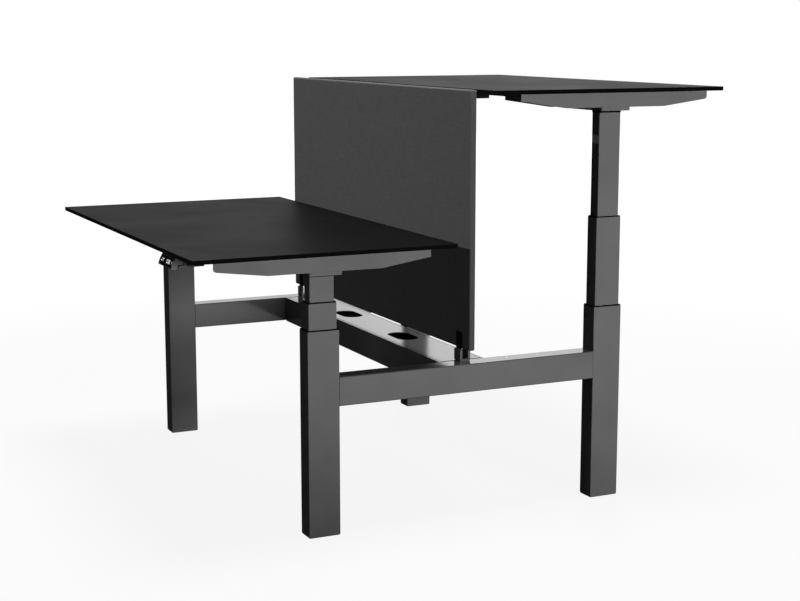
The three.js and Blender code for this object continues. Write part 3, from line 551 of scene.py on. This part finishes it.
class BENCH_OT_columns(bpy.types.Operator):
    """Finishes the lifting columns: painted tubes, plastic slide bushes and plated spindles"""

    bl_idname = "bench.columns"
    bl_label = "Lifting columns"

    def execute(self, context):
        colours = context.scene.bench_colours
        coat = powder_coat("graphite_powder_coat", colours.frame_paint, 5, 0.42, 0.0003, shine=0.25)
        bush = moulded_plastic("black_slide_bush_plastic", colours.bush, 1.5, 0.6, shine=0.08)
        zinc = zinc_plate("zinc_plated_steel", colours.zinc)
        paint(coat, *column_nodes("foot", "outer_tube", "mid_tube", "inner_column"))
        paint(bush, *column_nodes("outer_bush", "mid_bush"))
        paint(zinc, *column_nodes("hollow_spindle", "drive_screw"))
        for desk in DESKS:
            columns = [f"{desk}_{side}_inner_column" for side in SIDES]
            spots = [Matrix.Translation(self.neck(node)) for node in columns]
            # A black ring under each head pan is painted shade, standing for the pan's shadow on its inner tube.
            shade_rings = place_copies(self.seal(context.scene.bench_sizes, columns[0]), spots)
            finish_piece(shade_rings, f"{desk}_neck_seals", f"{desk}_desk", bush)
        return {"FINISHED"}

    def reach(self, node, start, towards):
        """Where a straight line from start first meets a node."""
        hit, spot, _, _ = NODES[node].ray_cast(Vector(start), Vector(towards))
        if not hit:
            raise RuntimeError(f"{node}: no face in that direction")
        return spot

    def girth(self, node):
        """Lowest and highest corner of the inner tube itself, as it is halfway up."""
        low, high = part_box(node)
        middle = (low + high) / 2
        level = low.z + 0.05
        bottom_x, top_x = (self.reach(node, (x, middle.y, level), (way, 0, 0)).x
                           for x, way in ((low.x - 0.1, 1), (high.x + 0.1, -1)))
        bottom_y, top_y = (self.reach(node, ((bottom_x + top_x) / 2, y, level), (0, way, 0)).y
                           for y, way in ((low.y - 0.1, 1), (high.y + 0.1, -1)))
        return (bottom_x, bottom_y), (top_x, top_y)

    def neck(self, node):
        """Where the axis of the inner tube meets the underside of its head pan."""
        (x0, y0), (x1, y1) = self.girth(node)
        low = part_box(node)[0]
        under = self.reach(node, (x1 + 0.001, (y0 + y1) / 2, low.z), (0, 0, 1))
        return (x0 + x1) / 2, (y0 + y1) / 2, under.z

    def seal(self, sizes, node):
        """One black ring of painted shade round the top of the inner tube, under its pan, its top on the plane Z = 0.
        """
        (x0, y0), (x1, y1) = self.girth(node)
        start_fresh()
        bpy.ops.mesh.primitive_plane_add(size=1)
        ring = bpy.context.object
        shape(ring, "VERT")
        bpy.ops.mesh.select_all(action="SELECT")
        bpy.ops.transform.resize(value=(x1 - x0 + 2 * sizes.shade_ring_wall, y1 - y0 + 2 * sizes.shade_ring_wall, 1))
        bpy.ops.mesh.bevel(offset=0.0025, segments=3, affect="VERTICES")
        bpy.ops.mesh.select_mode(type="FACE")
        bpy.ops.mesh.select_all(action="SELECT")
        bpy.ops.mesh.inset(thickness=sizes.shade_ring_wall - 0.0001)
        bpy.ops.mesh.delete(type="FACE")
        bpy.ops.mesh.select_all(action="SELECT")
        bpy.ops.mesh.extrude_region_move(TRANSFORM_OT_translate={"value": (0, 0, -sizes.shade_ring_height)})
        bpy.ops.mesh.select_all(action="SELECT")
        bpy.ops.mesh.normals_make_consistent(inside=False)
        start_fresh()
        return ring


class BENCH_OT_heads(bpy.types.Operator):
    """Finishes what is under the worktops: brackets, beams, gear motors and control boxes"""

    bl_idname = "bench.heads"
    bl_label = "Brackets and drives"

    def execute(self, context):
        colours = context.scene.bench_colours
        coat = bpy.data.materials["graphite_powder_coat"]
        zinc = bpy.data.materials["zinc_plated_steel"]
        housing = moulded_plastic("black_control_box_plastic", colours.housing, 1.5, 0.5)
        paint(coat, *column_nodes("side_bracket"), *desk_nodes("head_beam"))
        paint(zinc, *column_nodes("gear_motor"))
        paint(housing, *desk_nodes("control_box"))
        return {"FINISHED"}


class BENCH_OT_spine(bpy.types.Operator):
    """Finishes the crossbars, the cable tray with its lid, and the screen's clamps"""

    bl_idname = "bench.spine"
    bl_label = "Crossbars and tray"

    def execute(self, context):
        colours = context.scene.bench_colours
        smooth = powder_coat("smooth_tray_paint", colours.tray_paint, 8, 0.14, 0.00005, lacquer=0.85)
        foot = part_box("right_screen_clamp")[0].z
        dipped = dipped_paint("rubber_dipped_clamp_paint", colours.tray_paint, colours.dip, foot + 0.035)
        paint(dipped, "left_screen_clamp", "right_screen_clamp")
        paint(smooth, "left_crossbar", "right_crossbar", "cable_tray", "tray_lid")
        return {"FINISHED"}


class BENCH_OT_screen(bpy.types.Operator):
    """Covers the screen with cloth, rolled over its edges and tucked in along the bottom"""

    bl_idname = "bench.screen"
    bl_label = "Screen"

    def execute(self, context):
        sizes = context.scene.bench_sizes
        low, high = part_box("screen_panel")
        start_fresh()
        bpy.ops.mesh.primitive_cube_add(size=1, location=(low + high) / 2, scale=high - low)
        cover = context.object
        bpy.ops.object.transform_apply(location=True, rotation=True, scale=True)

        def runs_through(edge):
            a, b = (vert.co for vert in edge.verts)
            return abs(a.y - b.y) > 0.001

        shape(cover, "EDGE")
        pick("edges", runs_through)
        bpy.ops.mesh.bevel(offset=sizes.fabric_roll, segments=6, affect="EDGES")

        def rims_a_face(edge):
            normals = [face.normal for face in edge.link_faces]
            return any(abs(n.y) > 0.99 for n in normals) and any(abs(n.y) < 0.01 for n in normals)

        pick("edges", rims_a_face)
        bpy.ops.mesh.bevel(offset=sizes.fabric_roll, segments=6, affect="EDGES")

        bpy.ops.mesh.select_mode(type="FACE")
        # The two halves of the cloth meet in a tuck along the bottom edge.
        pick("faces", lambda face: face.normal.z < -0.99)
        bpy.ops.mesh.inset(thickness=(high.y - low.y) / 2 - sizes.fabric_roll - 0.001)
        bpy.ops.mesh.extrude_region_move(TRANSFORM_OT_translate={"value": (0, 0, 0.003)})
        cloth = woven_cloth("charcoal_woven_cloth", context.scene.bench_colours.fabric, sizes.thread_pitch)
        finish_piece(cover, "screen_cover", "frame", cloth)
        # The two large faces are shaded flat, up to their rolled edges.
        shape(cover, "FACE")
        pick("faces", lambda face: abs(face.normal.y) > 0.99)
        bpy.ops.mesh.faces_shade_flat()
        start_fresh()
        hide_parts("screen_panel")
        return {"FINISHED"}


# Bars of a seven-segment digit, as letters from the top one clockwise, with the middle one last.
DIGIT_BARS = {
    "0": "abcdef",
    "1": "bc",
    "2": "abged",
    "3": "abgcd",
    "4": "fgbc",
    "5": "afgcd",
    "6": "afgedc",
    "7": "abc",
    "8": "abcdefg",
    "9": "abcdfg",
}


class BENCH_OT_handsets(bpy.types.Operator):
    """Finishes the handsets, and puts the lit height and the two arrows on their displays"""

    bl_idname = "bench.handsets"
    bl_label = "Handsets"

    def execute(self, context):
        colours = context.scene.bench_colours
        plastic = moulded_plastic("grey_handset_plastic", colours.handset, 1.2, 0.42)
        window = display_window("black_display_acrylic", colours.window)
        marks = lit_marks("white_display_light", colours.marks)
        paint(plastic, *desk_nodes("handset_mount", "handset_paddle"))
        paint(window, *desk_nodes("handset_panel"))
        for desk, outward in (("front", -1), ("back", 1)):
            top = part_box(f"{desk}_worktop")[1].z
            digits = self.digits(context.scene.bench_sizes, f"{round(top * 100):03d}")
            arrows = self.arrows()
            for part, name, offset in ((digits, "digits", 0.027), (arrows, "arrows", -0.033)):
                self.lay_on_face(part, desk, outward, offset)
                finish_piece(part, f"{desk}_display_{name}", f"{desk}_paddle", marks)
        return {"FINISHED"}

    def bar(self, long, thick):
        start_fresh()
        bpy.ops.mesh.primitive_plane_add(size=long)
        bar = bpy.context.object
        shape(bar, "VERT")
        bpy.ops.mesh.select_all(action="SELECT")
        bpy.ops.transform.resize(value=(1, thick / long, 1))
        bpy.ops.mesh.bevel(offset=thick * 0.4, segments=2, affect="VERTICES")
        start_fresh()
        return bar

    def digits(self, sizes, number):
        across, high = sizes.digit_width, sizes.digit_height
        thick = high / 3.6
        middles = {"a": (0, high / 2), "g": (0, 0), "d": (0, -high / 2)}
        ends = {"b": (1, 1), "c": (1, -1), "e": (-1, -1), "f": (-1, 1)}
        flat, upright = [], []
        for index, figure in enumerate(number):
            x = (index - (len(number) - 1) / 2) * sizes.digit_pitch
            for letter in DIGIT_BARS[figure]:
                if letter in middles:
                    flat.append(Matrix.Translation((x, middles[letter][1], 0)))
                else:
                    side, level = ends[letter]
                    spot = Matrix.Translation((x + side * across / 2, level * high / 4, 0))
                    upright.append(spot @ Matrix.Rotation(math.pi / 2, 4, "Z"))
        level_bars = place_copies(self.bar(across - thick * 0.6, thick), flat)
        upright_bars = place_copies(self.bar(high / 2 - thick * 0.2, thick), upright)
        take(level_bars, upright_bars)
        bpy.ops.object.join()
        return bpy.context.object

    def arrows(self):
        start_fresh()
        bpy.ops.mesh.primitive_circle_add(vertices=3, radius=0.0064, fill_type="NGON")
        arrow = bpy.context.object
        shape(arrow, "VERT")
        bpy.ops.mesh.select_all(action="SELECT")
        bpy.ops.mesh.bevel(offset=0.0008, segments=3, affect="VERTICES")
        start_fresh()
        up = Matrix.Translation((-0.0066, 0, 0))
        down = Matrix.Translation((0.0066, 0.001, 0)) @ Matrix.Rotation(math.pi, 4, "Z")
        return place_copies(arrow, (up, down))

    def lay_on_face(self, part, desk, outward, offset):
        low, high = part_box(f"{desk}_handset_panel")
        middle = (low + high) / 2
        front = (low.y if outward < 0 else high.y) + outward * 0.02
        stand = Matrix.Rotation(math.pi / 2, 4, "X")
        face = Matrix.Rotation(0 if outward < 0 else math.pi, 4, "Z")
        spot = Matrix.Translation((middle.x - outward * offset, front, middle.z + 0.0005))
        take(part)
        part.matrix_world = spot @ face @ stand
        bpy.ops.object.transform_apply(location=True, rotation=True, scale=True)
        wrap = part.modifiers.new("on_window", "SHRINKWRAP")
        wrap.wrap_method = "PROJECT"
        wrap.use_project_y = True
        wrap.use_positive_direction = outward < 0
        wrap.use_negative_direction = outward > 0
        wrap.target = NODES[f"{desk}_handset_panel"]
        wrap.wrap_mode = "ABOVE_SURFACE"
        wrap.offset = 0.00012
        bpy.ops.object.modifier_apply(modifier=wrap.name)
        film = part.modifiers.new("film", "SOLIDIFY")
        film.thickness = 0.0003
        film.offset = -1
        bpy.ops.object.modifier_apply(modifier=film.name)


class BENCH_OT_screws(bpy.types.Operator):
    """Drives the low-head screws into brackets, column heads, control boxes and handset mounts"""

    bl_idname = "bench.screws"
    bl_label = "Screws"

    def execute(self, context):
        zinc = bpy.data.materials["zinc_plated_steel"]
        radius = context.scene.bench_sizes.screw_head / 2
        for desk, user in (("front", -1), ("back", 1)):
            seats = []
            for side in SIDES:
                seats += self.bracket_seats(f"{desk}_{side}_side_bracket", user)
                seats += self.head_seats(f"{desk}_{side}_inner_column")
            seats += self.corner_seats(f"{desk}_control_box", 0.03, 0.03)
            seats += self.corner_seats(f"{desk}_handset_mount", 0.022, 0.012)
            screws = place_copies(self.pan_head(radius), seats)
            finish_piece(screws, f"{desk}_desk_screws", f"{desk}_desk", zinc)
        return {"FINISHED"}

    def pan_head(self, radius):
        """One screw head on the plane Z = 0, with a hexagon socket."""
        high = radius * 0.3
        start_fresh()
        bpy.ops.mesh.primitive_circle_add(vertices=6, radius=radius * 0.5, location=(0, 0, high))
        head = bpy.context.object
        bpy.ops.object.transform_apply(location=True, rotation=True, scale=True)
        bpy.ops.object.mode_set(mode="EDIT")
        bpy.ops.mesh.primitive_circle_add(vertices=18, radius=radius * 0.78, location=(0, 0, high))
        bpy.ops.mesh.select_mode(type="EDGE")
        bpy.ops.mesh.select_all(action="SELECT")
        bpy.ops.mesh.bridge_edge_loops()

        def rim(edge, low, far):
            reach = max(vert.co.xy.length for vert in edge.verts)
            level = min(vert.co.z for vert in edge.verts)
            return edge.is_boundary and low - 1e-6 < level and reach > far

        for wide, down in ((1.0 / 0.78, -0.45 * high), (1.0, -0.55 * high)):
            pick("edges", lambda edge: rim(edge, 0, radius * 0.7))
            bpy.ops.mesh.extrude_region_move(TRANSFORM_OT_translate={"value": (0, 0, down)})
            bpy.ops.transform.resize(value=(wide, wide, 1))
        bpy.ops.mesh.edge_face_add()
        pick("edges", lambda edge: edge.is_boundary)
        bpy.ops.mesh.extrude_region_move(TRANSFORM_OT_translate={"value": (0, 0, -0.6 * high)})
        bpy.ops.mesh.edge_face_add()
        bpy.ops.mesh.select_all(action="SELECT")
        bpy.ops.mesh.normals_make_consistent(inside=False)
        start_fresh()
        return head

    def seat(self, node, start, towards):
        """Where a screw driven from start towards a node meets it, as the place of a screw head."""
        hit, spot, normal, _ = NODES[node].ray_cast(Vector(start), Vector(towards))
        if not hit:
            raise RuntimeError(f"{node}: no face for a screw")
        return Matrix.Translation(spot) @ normal.to_track_quat("Z", "X").to_matrix().to_4x4()

    def bracket_seats(self, node, user):
        low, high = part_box(node)
        x = (low.x + high.x) / 2
        middle = (low.y + high.y) / 2
        offsets = (-0.29, -0.21, 0.19, 0.25)
        return [self.seat(node, (x, middle + user * y, low.z - 0.1), (0, 0, 1)) for y in offsets]

    def head_seats(self, node):
        low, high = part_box(node)
        x = low.x + 0.06 if high.x > 0 else high.x - 0.06
        return [self.seat(node, (x, y, low.z - 0.1), (0, 0, 1)) for y in (low.y + 0.018, high.y - 0.018)]

    def corner_seats(self, node, along, across):
        low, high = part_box(node)
        spots = [(x, y) for x in (low.x + along, high.x - along) for y in (low.y + across, high.y - across)]
        return [self.seat(node, (x, y, low.z - 0.1), (0, 0, 1)) for x, y in spots]


class BENCH_PT_sidebar(bpy.types.Panel):
    """Lists the bench's colours, sizes, light and steps"""

    bl_idname = "BENCH_PT_sidebar"
    bl_label = "Bench"
    bl_space_type = "VIEW_3D"
    bl_region_type = "UI"
    bl_category = "Bench"

    def draw(self, context):
        scene = context.scene
        for group in (scene.bench_colours, scene.bench_sizes, scene.bench_studio):
            box = self.layout.box()
            for name in group.__annotations__:
                box.prop(group, name)
        for step in STEPS:
            self.layout.operator(step.bl_idname)


STEPS = (
    BENCH_OT_stage,
    BENCH_OT_worktops,
    BENCH_OT_columns,
    BENCH_OT_heads,
    BENCH_OT_spine,
    BENCH_OT_screen,
    BENCH_OT_handsets,
    BENCH_OT_screws,
)
CLASSES = (BenchColours, BenchSizes, BenchStudio, *STEPS, BENCH_PT_sidebar)


def register():
    for cls in CLASSES:
        bpy.utils.register_class(cls)
    bpy.types.Scene.bench_colours = PointerProperty(type=BenchColours)
    bpy.types.Scene.bench_sizes = PointerProperty(type=BenchSizes)
    bpy.types.Scene.bench_studio = PointerProperty(type=BenchStudio)


def unregister():
    del bpy.types.Scene.bench_studio
    del bpy.types.Scene.bench_sizes
    del bpy.types.Scene.bench_colours
    for cls in reversed(CLASSES):
        bpy.utils.unregister_class(cls)


def main():
    register()
    bpy.ops.bench.stage()
    bpy.ops.bench.worktops()
    bpy.ops.bench.columns()
    bpy.ops.bench.heads()
    bpy.ops.bench.spine()
    bpy.ops.bench.screen()
    bpy.ops.bench.handsets()
    bpy.ops.bench.screws()


if __name__ == "__main__":
    main()
